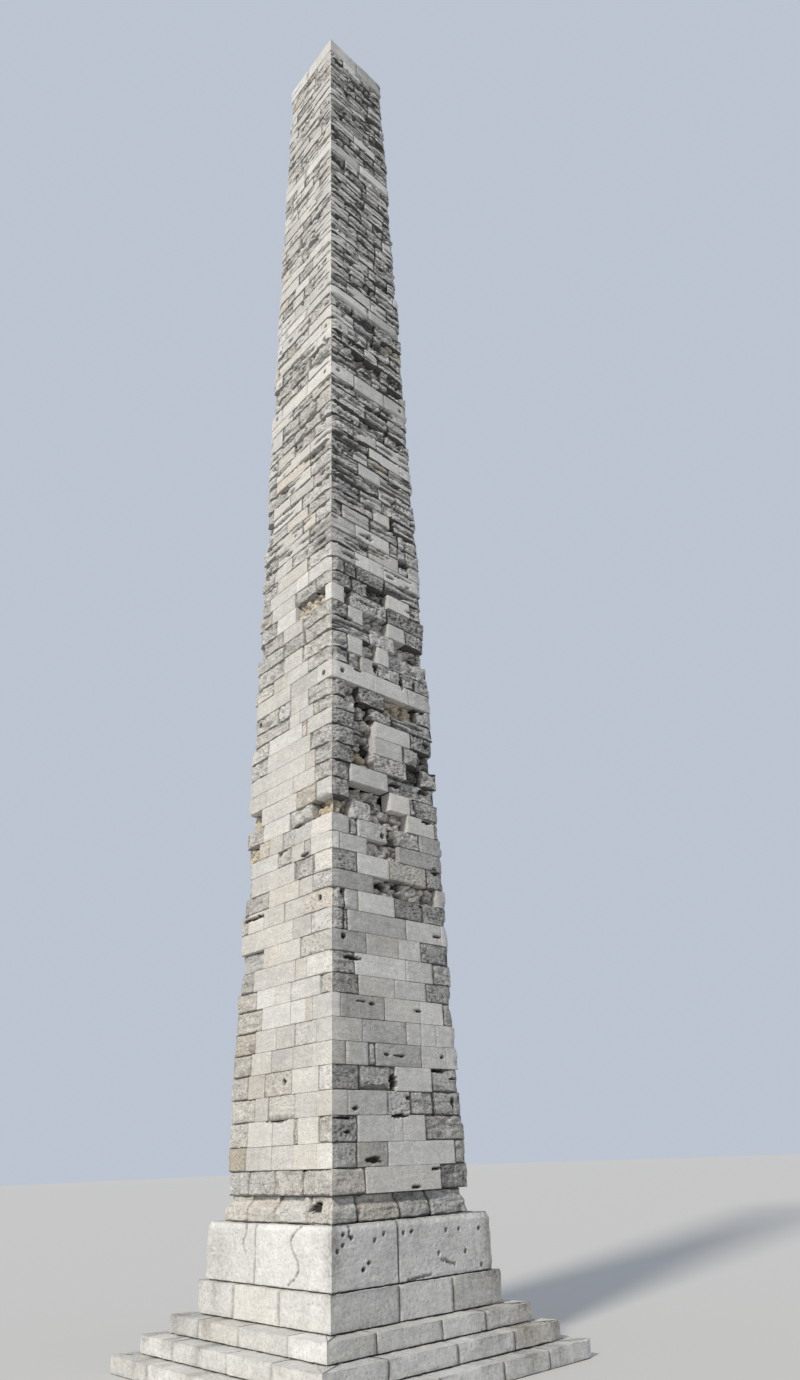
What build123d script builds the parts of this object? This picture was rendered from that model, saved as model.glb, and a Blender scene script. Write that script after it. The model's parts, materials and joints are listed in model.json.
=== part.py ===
from build123d import *
import os

# A tall obelisk of coursed cut stone on a stepped base, in millimetres.
# The origin is the middle of the bed under the lowest step, with +Z up.
# The front face looks along -Y and the left face along -X.

# Driving dimensions of the base
step_height = 250
step_tread = 300
step_names = ["lower_step", "middle_step", "upper_step"]
footing_height = 450
footing_projection = 80
pedestal_width = 3160
pedestal_height = 800
pedestal_lip_height = 90
pedestal_lip_slope = 35
pedestal_seam_x = -370
pedestal_seam_y = 240

# Driving dimensions of the shaft, which stands a little off the pedestal's middle
shaft_offset_x = -70
shaft_offset_y = -50
shaft_base_width = 2760
shaft_top_width = 1812
shaft_height = 28805.5
pyramidion_height = 1200
pyramidion_tip_width = 140
pyramidion_eaves_inset = 30

# The courses from the pedestal up, each by the name of the masonry stage that holds it
courses = ["undercut_base_course"] + ["shaft_lift_01"] * 8 + ["shaft_lift_02"] * 9
courses += ["shaft_lift_03"] * 8 + ["long_stone_course"] + ["shaft_lift_04"] * 7
courses += ["shaft_lift_05"] * 7 + ["shaft_lift_06"] * 7 + ["pale_band_course_1"]
courses += ["shaft_lift_07"] * 6 + ["pale_band_course_2"] + ["shaft_lift_08"] * 7
courses += ["shaft_lift_09"] * 7 + ["pale_band_course_3"] + ["shaft_lift_10"] * 6
courses += ["shaft_lift_11"] * 6 + ["top_course"]

# The height of one course in each stage. All of them together make the shaft's height,
# and grow or shrink with it.
course_heights = {
    "undercut_base_course": 355,
    "shaft_lift_01": 350.5,
    "shaft_lift_02": 328,
    "shaft_lift_03": 328,
    "long_stone_course": 350,
    "shaft_lift_04": 333,
    "shaft_lift_05": 335.5,
    "shaft_lift_06": 347,
    "pale_band_course_1": 390,
    "shaft_lift_07": 362,
    "pale_band_course_2": 275,
    "shaft_lift_08": 361,
    "shaft_lift_09": 347,
    "pale_band_course_3": 325,
    "shaft_lift_10": 337,
    "shaft_lift_11": 327,
    "top_course": 510,
}

# Weathered bed joints, and the hollow worn into the lowest course
joint_depth = 18
joint_height = 16
undercut_depth = 90
undercut_start = 0.45

# Drilled dowel sockets
socket_radius = 26
socket_depth = 110

# A block joint on a step or on the footing
seam_width = 8
seam_depth = 14
step_block_length = 1100

# Robbed-out stones: face and course, start and end along the face from the corner at
# its low end, depth. Courses count up from 0, the undercut one. None for a start or an
# end takes the corner stone away.
robbed_stones = [
    ("front 14", 900, 2350, 90),
    ("front 16", 790, 1440, 70),
    ("front 17", 1210, 1420, 260),
    ("front 18", None, 450, 130),
    ("left 18", None, 560, 130),
    ("front 18", 880, 1740, 210),
    ("front 19", 400, 1320, 330),
    ("front 20", 1270, None, 60),
    ("front 21", 470, 930, 260),
    ("front 21", 1760, 2130, 140),
    ("front 22", 540, 960, 380),
    ("front 22", 2080, None, 170),
    ("front 23", 550, 1010, 170),
    ("front 24", 560, 900, 200),
    ("front 25", 340, 640, 160),
    ("front 25", 1270, 2040, 190),
    ("front 28", 740, 1120, 150),
    ("front 29", 1570, None, 240),
    ("front 30", 760, 1400, 220),
    ("front 31", 310, 490, 160),
    ("front 32", 900, 1420, 120),
    ("front 50", 600, 1450, 190),
    ("front 53", 1450, None, 120),
    ("left 31", 190, 1130, 130),
    ("left 11", 1870, None, 60),
    ("left 15", 2340, None, 70),
    ("left 16", 2310, None, 90),
    ("left 17", 2380, None, 80),
    ("left 19", 2080, None, 190),
    ("left 30", 2230, None, 110),
    ("left 39", 2200, None, 90),
    ("left 50", 2080, None, 70),
    ("back 22", 640, 1310, 200),
    ("back 38", 1100, 1720, 180),
    ("right 15", 820, 1460, 190),
    ("right 33", 420, 1010, 200),
]

# Single stones that bridge or stand between the robbed places:
# name, face and course, start, end and depth as above
free_stones = [
    ("bridging_stone", "front 20", 430, 1270, 400),
    ("stone_beside_recess", "front 19", 1320, 1790, 380),
    ("stone_under_bridge", "front 18", 450, 880, 380),
    ("stone_under_long_course", "front 25", 640, 1270, 360),
    ("arris_stone", "front 31", None, 310, 360),
    ("recess_stone_left", "front 30", 420, 760, 380),
    ("recess_stone_right", "front 30", 1400, 1850, 380),
    ("deep_repair_stone", "front 29", 950, 1570, 380),
]

# Dowel sockets in the shaft: face and course, distance from the front left corner,
# height as a share of the course
shaft_sockets = [
    ("front 4", 2480, 0.62),
    ("front 11", 240, 0.80),
    ("front 13", 225, 0.62),
    ("front 26", 260, 0.52),
    ("left 26", 245, 0.40),
    ("front 48", 200, 0.45),
    ("left 48", 235, 0.45),
]

# Dowel sockets in the pedestal's front: x, and depth below the pedestal's top
pedestal_sockets = [(-1380, 250), (-1220, 170), (-640, 160), (-110, 170), (860, 200), (1300, 220)]


def square(half, height, middle):
    """A level square as a closed wire."""
    return Wire.make_rect(2 * half, 2 * half).moved(Location((middle[0], middle[1], height)))


def stack(sections, middle=(0, 0)):
    """A solid with flat sides through level squares, given as (height, half width)."""
    wires = [square(half, height, middle) for height, half in sections]
    return Solid.make_loft(wires, ruled=True)


def box_between(low, high):
    """A box from its lowest to its highest corner."""
    size = [high[i] - low[i] for i in range(3)]
    return Solid.make_box(*size).moved(Location(low))


pedestal_bed = step_height * len(step_names) + footing_height
shaft_bed = pedestal_bed + pedestal_height
course_scale = shaft_height / sum(course_heights[name] for name in courses)
shaft_middle = (shaft_offset_x, shaft_offset_y)


def half_width(height):
    """Half the shaft's width at a height above the pedestal."""
    taper = (shaft_base_width - shaft_top_width) / shaft_height
    return (shaft_base_width - taper * height) / 2


def course_spans():
    """Bottom and top of every course above the pedestal, and the stage that holds it."""
    spans = []
    height = 0
    for name in courses:
        top = height + course_heights[name] * course_scale
        spans.append((height, top, name))
        height = top
    return spans


def course_sections(low, high):
    """The grooved outline of one course, from its lower to its upper bed joint."""
    return [
        (shaft_bed + low, half_width(low) - joint_depth),
        (shaft_bed + low + joint_height / 2, half_width(low)),
        (shaft_bed + high - joint_height / 2, half_width(high)),
        (shaft_bed + high, half_width(high) - joint_depth),
    ]


def undercut_sections(low, high):
    """The lowest course, worn back below the course that it carries."""
    start = low + (high - low) * undercut_start
    return [
        (shaft_bed + low, half_width(low)),
        (shaft_bed + start, half_width(start)),
        (shaft_bed + high - 2 * joint_height, half_width(high) - undercut_depth),
        (shaft_bed + high, half_width(high) - undercut_depth),
    ]


def plain_stage(name, spans):
    """One masonry stage before stones are robbed from it."""
    own = [(low, high) for low, high, owner in spans if owner == name]
    if name == "undercut_base_course":
        return stack(undercut_sections(*own[0]), shaft_middle)
    sections = []
    for low, high in own:
        outline = course_sections(low, high)
        sections += outline if not sections else outline[1:]
    return stack(sections, shaft_middle)


def parted(place, spans):
    """The face, the bottom, the top and the stage of a place such as "front 14"."""
    face, course = place.split()
    return face, *spans[int(course)]


def face_box(place, start, end, depth, spans):
    """A box that reaches a depth behind one face, over the height of one course."""
    face, low, high, _ = parted(place, spans)
    corner = half_width((low + high) / 2)
    outer = -shaft_base_width
    first = outer if start is None else start - corner
    last = -outer if end is None else end - corner
    inner = depth - corner
    if face == "front":
        low_xy, high_xy = (first, outer), (last, inner)
    elif face == "left":
        low_xy, high_xy = (outer, first), (inner, last)
    elif face == "back":
        low_xy, high_xy = (first, -inner), (last, -outer)
    else:
        low_xy, high_xy = (-inner, first), (-outer, last)
    return box_between(
        (low_xy[0] + shaft_offset_x, low_xy[1] + shaft_offset_y, shaft_bed + low),
        (high_xy[0] + shaft_offset_x, high_xy[1] + shaft_offset_y, shaft_bed + high),
    )


def socket_in_shaft(place, along, share, spans):
    """A drilled dowel socket, square to the front or the left face."""
    face, low, high, _ = parted(place, spans)
    height = low + (high - low) * share
    corner = half_width(height)
    mouth = -corner + socket_depth
    length = 2 * socket_depth
    if face == "front":
        start = (-corner + along + shaft_offset_x, mouth + shaft_offset_y, shaft_bed + height)
        plane = Plane(start, z_dir=(0, -1, 0))
    else:
        start = (mouth + shaft_offset_x, -corner + along + shaft_offset_y, shaft_bed + height)
        plane = Plane(start, z_dir=(-1, 0, 0))
    return Solid.make_cylinder(socket_radius, length, plane)


def shaft_nodes():
    """Every stage of the shaft, and the stones that stand free in its robbed places."""
    spans = course_spans()
    nodes = {name: plain_stage(name, spans) for name in course_heights}
    free = {}
    for name, place, start, end, depth in free_stones:
        owner = parted(place, spans)[-1]
        block = face_box(place, start, end, depth, spans)
        free[name] = nodes[owner] & block
        nodes[owner] = nodes[owner] - block
    for place, start, end, depth in robbed_stones:
        owner = parted(place, spans)[-1]
        nodes[owner] = nodes[owner] - face_box(place, start, end, depth, spans)
    for place, along, share in shaft_sockets:
        owner = parted(place, spans)[-1]
        nodes[owner] = nodes[owner] - socket_in_shaft(place, along, share, spans)
    nodes.update(free)
    return nodes


def pyramidion():
    """The low pyramid that closes the shaft."""
    eaves = half_width(shaft_height) - pyramidion_eaves_inset
    foot = shaft_bed + shaft_height
    return stack([(foot, eaves), (foot + pyramidion_height, pyramidion_tip_width / 2)], shaft_middle)


def with_seams(block, half, low, high):
    """Cuts the upright joints between blocks into the four sides of a step."""
    pairs = int(half / step_block_length)
    for i in range(-pairs, pairs):
        along = (i + 0.5) * step_block_length
        for sign in (-1, 1):
            near, far = sorted((sign * (half - seam_depth), sign * (half + seam_depth)))
            block = block - box_between((along - seam_width / 2, near, low), (along + seam_width / 2, far, high))
            block = block - box_between((near, along - seam_width / 2, low), (far, along + seam_width / 2, high))
    return block


def base_nodes():
    """The steps, the footing course and the pedestal's four blocks."""
    nodes = {}
    for i, name in enumerate(step_names):
        outward = (len(step_names) - i) * step_tread + footing_projection
        half = pedestal_width / 2 + outward
        low = i * step_height
        step = stack([(low, half), (low + step_height, half)])
        nodes[name] = with_seams(step, half, low, low + step_height)
    low = pedestal_bed - footing_height
    half = pedestal_width / 2 + footing_projection
    footing = stack([(low, half), (pedestal_bed, half)])
    nodes["footing_course"] = with_seams(footing, half, low, pedestal_bed)
    nodes.update(pedestal_blocks())
    return nodes


def pedestal_blocks():
    """The pedestal, parted at its two seams, with the worn lip along its top."""
    half = pedestal_width / 2
    whole = stack([
        (pedestal_bed, half),
        (shaft_bed - pedestal_lip_height, half),
        (shaft_bed, half - pedestal_lip_slope),
    ])
    for x, below in pedestal_sockets:
        start = (x, -half + socket_depth, shaft_bed - below)
        whole = whole - Solid.make_cylinder(socket_radius, 2 * socket_depth, Plane(start, z_dir=(0, -1, 0)))
    blocks = {}
    for side, x_low, x_high in (("left", -half, pedestal_seam_x), ("right", pedestal_seam_x, half)):
        for end, y_low, y_high in (("front", -half, pedestal_seam_y), ("back", pedestal_seam_y, half)):
            quarter = box_between((x_low, y_low, pedestal_bed), (x_high, y_high, shaft_bed))
            blocks[f"pedestal_{end}_{side}_block"] = whole & quarter
    return blocks


def main():
    os.makedirs("parts", exist_ok=True)
    nodes = base_nodes()
    nodes.update(shaft_nodes())
    nodes["pyramidion"] = pyramidion()
    for name, shape in nodes.items():
        export_step(shape, f"parts/{name}.step")


main()
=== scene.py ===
import json
import math
import re
from collections import defaultdict, namedtuple

import bpy
import numpy as np
from mathutils import Matrix, Vector


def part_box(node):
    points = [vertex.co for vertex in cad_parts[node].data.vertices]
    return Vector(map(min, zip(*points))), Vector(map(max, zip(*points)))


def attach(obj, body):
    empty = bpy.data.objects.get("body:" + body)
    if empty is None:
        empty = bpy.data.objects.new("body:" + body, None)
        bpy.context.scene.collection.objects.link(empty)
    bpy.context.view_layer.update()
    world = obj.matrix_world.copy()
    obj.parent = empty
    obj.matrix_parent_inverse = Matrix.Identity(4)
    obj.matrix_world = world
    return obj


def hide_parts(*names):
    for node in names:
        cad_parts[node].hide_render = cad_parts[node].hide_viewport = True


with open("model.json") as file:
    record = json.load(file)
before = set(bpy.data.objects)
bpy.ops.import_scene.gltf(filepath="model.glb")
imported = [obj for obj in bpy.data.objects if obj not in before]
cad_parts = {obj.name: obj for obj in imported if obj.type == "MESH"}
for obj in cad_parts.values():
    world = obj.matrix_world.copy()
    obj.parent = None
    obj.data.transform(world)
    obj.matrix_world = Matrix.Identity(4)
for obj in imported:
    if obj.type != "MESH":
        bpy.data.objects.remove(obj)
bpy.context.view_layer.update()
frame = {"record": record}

# The obelisk's masonry, stone by stone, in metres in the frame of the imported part.
# Every stone stands in one course of one face. Its place along the front face counts
# from the front left corner, and so does its place along the left face. Places along
# the right face count from the front right corner, and along the back face from the
# back left corner.
# The grids of the turned faces have to be turned round to look outward.
faces = ("front", "left", "right", "back")
turned_faces = ("left", "back")
corners_of_face = {
    "front": ("front_left", "front_right"),
    "left": ("front_left", "back_left"),
    "right": ("front_right", "back_right"),
    "back": ("back_left", "back_right"),
}

# The stages of the shaft from the pedestal up. A stage has one number for each course:
# how much it is higher or lower than its neighbours, in centimetres.
stages = {
    "undercut_base_course": (0,),
    "shaft_lift_01": (0, -1, 2, 0, 1, -1, 0, 1),
    "shaft_lift_02": (-2, 2, 1, 2, 1, -2, 2, -3, -1),
    "shaft_lift_03": (0, 1, 0, 1, 2, -1, -6, 2),
    "long_stone_course": (0,),
    "shaft_lift_04": (-3, 3, 0, -1, 3, -1, -1),
    "shaft_lift_05": (0, 0, 1, 1, -2, 0, 1),
    "shaft_lift_06": (-1, -3, -3, 1, -1, 13, -6),
    "pale_band_course_1": (0,),
    "shaft_lift_07": (-5, 6, -4, -2, 0, 5),
    "pale_band_course_2": (0,),
    "shaft_lift_08": (5, 3, -3, 2, -3, 1, -3),
    "shaft_lift_09": (8, -4, 5, -7, -1, 1, -4),
    "pale_band_course_3": (0,),
    "shaft_lift_10": (-2, 3, 0, 1, -5, 1),
    "shaft_lift_11": (0, 0, 0, 0, 0, 0),
    "top_course": (0,),
}

# What a stone is like, in metres: the joint beside it, how far its edges wander, how
# round they are worn, how rough, pitted and bedded its face is, and how far it stands
# out. Then its tone from 0 dark to 1 light, its warmth, its dark crust and its finish.
Kind = namedtuple("Kind", "joint wander worn rough pits beds out tone warm crust finish")
kinds = {
    # Sawn, middling, grey, pitted and pale stones of the repairs
    "S": Kind(0.002, 0.003, 0.005, 0.004, 0.003, 0.0, 0.004, 0.60, 0.25, 0.10, "repair"),
    "M": Kind(0.0035, 0.005, 0.014, 0.007, 0.007, 0.0, 0.006, 0.51, 0.25, 0.24, "repair"),
    "G": Kind(0.0035, 0.005, 0.014, 0.008, 0.009, 0.0, 0.006, 0.42, 0.10, 0.32, "repair"),
    "P": Kind(0.005, 0.010, 0.018, 0.009, 0.020, 0.0, 0.008, 0.58, 0.25, 0.15, "repair"),
    "W": Kind(0.004, 0.008, 0.016, 0.008, 0.008, 0.004, 0.006, 0.68, 0.16, 0.12, "repair"),
    # Dark, rough, bedded, tawny, rounded and yellowish stones
    "D": Kind(0.006, 0.016, 0.026, 0.018, 0.018, 0.004, 0.012, 0.43, 0.08, 0.24, "weathered"),
    "R": Kind(0.008, 0.022, 0.036, 0.030, 0.013, 0.006, 0.014, 0.50, 0.18, 0.20, "weathered"),
    "B": Kind(0.007, 0.020, 0.026, 0.014, 0.010, 0.040, 0.012, 0.54, 0.15, 0.24, "weathered"),
    "T": Kind(0.007, 0.018, 0.030, 0.024, 0.012, 0.006, 0.010, 0.54, 0.50, 0.20, "weathered"),
    "O": Kind(0.005, 0.016, 0.045, 0.022, 0.010, 0.0, 0.010, 0.56, 0.45, 0.20, "weathered"),
    "Y": Kind(0.005, 0.010, 0.018, 0.012, 0.008, 0.0, 0.008, 0.60, 0.62, 0.14, "weathered"),
    # Grey and ochre rubble in the robbed places, dark rubble that is painted shade deep in them,
    # and the marble of the base
    "H": Kind(0.010, 0.012, 0.030, 0.050, 0.030, 0.0, 0.0, 0.80, 0.12, 0.16, "rubble"),
    "J": Kind(0.010, 0.012, 0.030, 0.045, 0.025, 0.0, 0.0, 0.76, 0.90, 0.06, "rubble"),
    # painted shade: this dark rubble stands for the shade deep in robbed places
    "K": Kind(0.010, 0.014, 0.030, 0.060, 0.040, 0.0, 0.0, 0.30, 0.20, 0.70, "rubble"),
    "C": Kind(0.004, 0.010, 0.020, 0.007, 0.006, 0.0, 0.0, 0.60, 0.12, 0.22, "marble"),
}

# Kinds that stay smooth where other stones are rugged, and kinds with no soft beds
smooth_kinds = "SMGW"
hard_kinds = "SW"

# The stones of the front face, one line for each course, which starts with its number
# counted up from the undercut one. A stone is the place of its far end in centimetres and
# its kind, then b where its lower edge is broken away, and in a robbed place how many
# centimetres of stone are gone.
front_rows = """
0 48O 126T 190R 276R
1 63O 213S 276D
2 47D 107M 247S 276R
3 49Db 138S 185S 276R
4 30S 108M 155P 205R 275R
5 53D 126Rb 203S 274R
6 27M 72M 86R 183G 238S 272S
7 60S 152G 184S 218S 273S
8 17S 107G 184S 236S 272T
9 54D 129S 200M 270D
10 47D 155S 217M 269R
11 71G 141S 190S 268D
12 26D 34R 160M 241S 264S
13 28D 56Gb 134S 200D 263D
14 90G 235H7 262S
15 55D 124S 213P 261D
16 17S 78M 147H7 261G
17 39M 57R 122G 142H17 199T 257G
18 45J13 88P 172H14 238S 257R
19 40D 132H20 179S 193R 257D
20 43R 127S 257R6
21 47D 93J12 176P 213K12 255R
22 54D 96H12 167M 208R 251K12
23 55D 101H11 186S 247D
24 56R 90H12 143R 240B
25 34D 64J10 127D 205J12 249R
26 101S 186S 249G
27 43R 70R 110G 170R 205R 245R
28 40R 74S 111H9 140S 243R4
29 95B 157P 243H13
30 42D 76S 140H12 184S 243D
31 31S 49H9 138P 243D
32 51D 90D 142K9 200S 240T
33 34D 63D 134D 238B
34 60G 98S 134S 239S
35 96B 174S 203R 236M
36 62M 150S 174R 198R 236P
37 29D 98M 179R 236T
38 110B 154S 167K6 236B
39 77D 134M 234R
40 127Db 173M 230P
41 72D 132S 230M
42 58D 96S 158T 227M
43 98B 103R 189S 227M
44 62D 124M 220M
45 80R 150R 225R
46 95B 160B 222B
47 70B 140R 220B
""".strip().split("\n")

# The stones of the left face, written in the same way
left_rows = """
0 60T 140O 210Y 276T
1 70R 140R 210R 276R
2 37S 95S 150M 220M 268Y
3 33R 83S 95R 150M 216S 274O
4 39S 91S 162Pb 197S 268O
5 33P 99S 174P 220S 268O
6 49S 99M 157M 212S 262O
7 37S 95P 145M 203S 266O
8 49S 67S 107M 185S 253O
9 32R 107M 151S 203S 253O
10 66P 97M 214S 266R
11 83Pb 137S 187S 255B6
12 55P 105M 216S 264M
13 76Pb 130M 190S 237S 262R
14 53R 90M 176S 260B
15 49P 103R 232S 255R7
16 57S 76Y 112S 153R 237M 255H9
17 57S 103M 139P 178S 212Y 255J8
18 56J13 120Rb 199S 255R
19 43Gb 101Y 208M 255J14
20 49R 112M 193S 255M
21 49B 76M 183S 253M
22 62R 193S 250R
23 72M 87Y 190S 250R
24 55R 95M 126S 250B
25 70B 122S 162R 250R
26 43S 126M 249S
27 72R 139M 182M 249R
28 91R 149M 245R
29 82R 150B 245B
30 91R 153M 223R 243R11
31 20S 113J8 174S 240R
32 49R 116R 193S 240R
33 74M 112S 203M 240R
34 78R 178S 238R
35 60B 130R 190M 236B
36 73B 178S 236R
37 52R 90S 97R 188M 234R
38 80R 150M 233B
39 100R 200S 232R9
40 60B 140M 200S 230R
41 70R 150M 229R
42 73R 192S 228R
43 73M 192S 227B
44 60B 130R 190M 226R
""".strip().split("\n")

# Robbed places in rows that aren't written out: start, end and depth in centimetres
robbed_places = {
    ("front", 50): (60, 145, 6),
    ("front", 53): (150, 215, 5),
    ("left", 50): (208, 225, 7),
    ("back", 22): (64, 131, 20),
    ("back", 38): (110, 172, 18),
    ("right", 15): (82, 146, 19),
    ("right", 33): (42, 101, 20),
}

# The single stones that are pieces of their own: face, course and start in centimetres
single_stones = {
    ("front", 20, 43): "bridging_stone",
    ("front", 19, 132): "stone_beside_recess",
    ("front", 18, 45): "stone_under_bridge",
    ("front", 25, 64): "stone_under_long_course",
    ("front", 31, 0): "arris_stone",
    ("front", 30, 42): "recess_stone_left",
    ("front", 30, 140): "recess_stone_right",
    ("front", 29, 95): "deep_repair_stone",
}

# Round dowel sockets: place along the face and height above the pedestal, in centimetres.
# The shaft's sockets are worn wider at the mouth than they were drilled.
socket_radius = 0.026
socket_mouth = 0.045
socket_depth = 0.11
sockets = {
    "front": (
        (248, 161), (24, 405), (22, 478), (26, 892), (20, 1641), (198, 1641), (24, 1705),
        (191, 1705), (27, 1778), (191, 1778), (23, 1850), (191, 1865), (183, 2006),
        (183, 2115), (15, 2104), (117, 2110), (24, 1428), (20, 1560), (36, 1538),
        (60, 1520), (196, 1529), (181, 1345), (196, 1253), (111, 591), (178, 2388),
    ),
    "left": (
        (24, 888), (23, 1641), (200, 1641), (20, 1778), (198, 1778), (22, 1850),
        (195, 1850), (22, 2000), (23, 2360), (23, 2548), (32, 470), (224, 860), (120, 195),
    ),
}

# Irregular hollows: place along, height, half length, half height and depth, in centimetres
hollows = {
    "front": (
        (78, 79, 14, 4, 7), (20, 137, 18, 1.6, 6), (120, 189, 8, 11, 13), (222, 208, 17, 3, 12),
        (135, 228, 13, 1.6, 6), (238, 300, 2, 8, 10), (132, 140, 15, 2.5, 8),
        (249, 159, 3, 7, 10), (113, 503, 9, 7, 14), (145, 505, 8, 6, 14), (234, 548, 9, 6, 14),
        (100, 650, 9, 8, 12), (149, 698, 12, 5, 14), (220, 701, 11, 6, 14), (249, 196, 7, 1.6, 5),
        (151, 166, 4, 3, 6), (44, 150, 5, 2, 5), (230, 230, 4, 3, 5), (109, 229, 4, 2, 5),
        (190, 1205, 15, 9, 12), (161, 1297, 7, 14, 14), (103, 1717, 34, 6, 10),
        (145, 1835, 50, 3, 9), (12, 2446, 6, 9, 12), (102, 2258, 23, 6, 12),
        (138, 2156, 8, 8, 12), (68, 2600, 66, 4, 11), (175, 2869, 11, 3, 9),
        (172, 920, 4, 14, 12), (105, 925, 5, 9, 10), (60, 1962, 40, 3, 9), (150, 2010, 35, 3, 9),
        (40, 2250, 30, 3, 9), (110, 2350, 45, 4, 9), (70, 1430, 30, 3, 9), (160, 1510, 32, 4, 10),
        (30, 1500, 20, 4, 9), (120, 2500, 40, 3, 9), (45, 2690, 30, 3, 8), (130, 2760, 30, 3, 8),
        (85, 752, 10, 15, 8), (58, 306, 8, 1.5, 5), (80, 304, 6, 2, 5), (40, 372, 16, 3, 6),
        (178, 300, 9, 1.5, 6), (30, 118, 5, 2, 6), (205, 64, 9, 2, 6), (160, 40, 12, 1.5, 6),
        (255, 395, 4, 3, 7), (232, 430, 9, 2, 7), (196, 478, 4, 2, 6), (128, 562, 5, 3, 7),
        (222, 640, 12, 3, 10), (240, 742, 10, 4, 12), (228, 800, 9, 4, 11), (215, 868, 14, 3, 10),
        (62, 905, 10, 3, 9), (210, 985, 12, 4, 10), (40, 1010, 10, 3, 9), (90, 1062, 22, 3, 9),
        (205, 1090, 16, 3, 10), (35, 1140, 14, 3, 9), (150, 1155, 10, 3, 9),
    ),
    "left": (
        (39, 20, 15, 6, 9), (135, 142, 26, 4, 8), (209, 1280, 7, 4, 9), (138, 1222, 8, 4, 9),
        (210, 1215, 8, 4, 9), (133, 1385, 7, 4, 9), (30, 1363, 8, 4, 9), (104, 1442, 8, 4, 9),
        (202, 1445, 8, 5, 9), (200, 1525, 13, 4, 9), (50, 1585, 8, 4, 9), (28, 1500, 7, 4, 9),
        (97, 1830, 8, 4, 9), (100, 1720, 7, 4, 9), (50, 1690, 6, 4, 9), (140, 1687, 7, 3, 9),
        (47, 2193, 23, 4, 9), (120, 2232, 9, 4, 9), (60, 2494, 7, 4, 9), (107, 2774, 7, 4, 9),
        (75, 2624, 7, 4, 9), (60, 2565, 7, 4, 9), (100, 2815, 20, 2, 7), (155, 2855, 25, 2, 7),
        (145, 575, 6, 4, 9), (220, 475, 30, 3, 8), (90, 612, 22, 3, 9), (75, 555, 10, 3, 8),
    ),
}

# Dowel sockets in the pedestal's front: place along and depth below its top, in centimetres
pedestal_sockets = (
    (36, 17), (21, 12), (20, 25), (11, 32), (94, 16), (77, 23), (131, 18), (147, 17),
    (217, 20), (244, 20), (288, 22), (66, 50), (56, 57), (256, 51), (200, 49), (289, 72),
)

# Cracks in the pedestal: start along and below its top, end along and below, and sway
# to one side, in centimetres
pedestal_cracks = {
    "front": ((138, 78, 182, 75, 1), (30, 0, 34, 18, 2), (205, 58, 232, 66, 3)),
    "left": ((70, 2, 98, 76, 16), (214, 0, 206, 40, -6)),
}

# Widths of the mesh's cells on the shown and on the hidden faces, and heights of its rows
low_mesh = (0.025, 0.120, 0.0200)
high_mesh = (0.044, 0.150, 0.0240)
pedestal_mesh = (0.017, 0.080, 0.017)
step_mesh = (0.050, 0.120, 0.050)
smooth_cell_factor = 2.0
small_mark_cell = 0.014
bevel = 0.012
shown_faces = ("front", "left")

# From this course up, the stones are smaller. Over the courses named next, ruggedness and
# wear grow to their full.
high_from_course = 34
rugged_courses = (14, 22)
worn_courses = (28, 46)

# Sizes of the masonry behind the faces
stone_depth = 0.24
deep_stone_depth = 0.46
stone_behind_robbed_place = 0.12
core_inset = 0.34
core_end_gap = 0.02
ledge_depth = 0.62
pedestal_ledge_depth = 0.5

# How far the lowest course is worn back under the next, and the pedestal's top edge
undercut_depth = 0.095
lip_depth = 0.035

# Sizes of the wear. Joints gape, joints are wider and beds are deeper high in the shaft.
open_joint = 0.038
wider_joint = 0.007
high_bed_depth = 0.024
broken_height = 0.07
corner_reach = 0.12
corner_joint = 0.004
bed_rounding = 0.012
least_depth = 0.001

# How round the edges are worn that still count as sharp, or as filled with mortar, and
# how near and how far the dirt and painted shade reach beside a joint
sharp_edge = 0.015
mortared_edge = 0.02
joint_dirt_and_shade_reach = (0.006, 0.030)

# Lengths and heights of the cells that hold one pit or one cobble
pit_cell = (0.10, 0.050)
small_pit_cell = (0.055, 0.036)
cobble_cell = (0.14, 0.11)
cobble_depth = 0.07

# The smallest and largest of the worn slots and small holes, and the links of a crack
slot_half_length = (0.06, 0.38)
slot_half_height = (0.014, 0.036)
slot_depth = 0.09
hole_half_size = (0.024, 0.034)
hole_depth = 0.08
crack_link = 0.03
crack_half_width = 0.020
crack_depth = 0.025

# How far out a hole is cut and how far its painted shade reaches, the depth from which
# that painted shade is full, and how dark it is
hole_edge = (0.88, 1.12)
hole_shade = (0.98, 1.24)
dark_from_depth = 0.05
hole_shade_strength = 0.97

# How steeply a worn face looks upward where rain washes it, and how much of its dirt and
# painted shade that takes away
washing_slopes = (0.3, 1.3)
washed_share = 0.65

# Painted highlight and shade: the relief that counts as full, and how far raised points
# are made lighter and hollow ones darker
full_relief = 0.03
relief_highlight_and_shade = 0.16

# The dirt and painted shade in tight joints, in open ones and in those high up; the share
# of it kept on upper beds, as undersides get the full painted shade; the dirt on treads
tight_joint_dirt_and_shade = 0.06
open_joint_dirt_and_shade = 0.58
high_joint_dirt_and_shade = 0.95
upper_bed_shade_share = 0.35
tread_grime = 0.1
tread_wear = 0.006

# The point of the pyramid, its courses and the height of the stone that closes it
tip_half = 0.07
pyramid_courses = 4
cap_height = 0.30

# The mean length of a step's block, and how far its joints stray
block_length = 1.1
block_stray = 0.16
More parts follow.
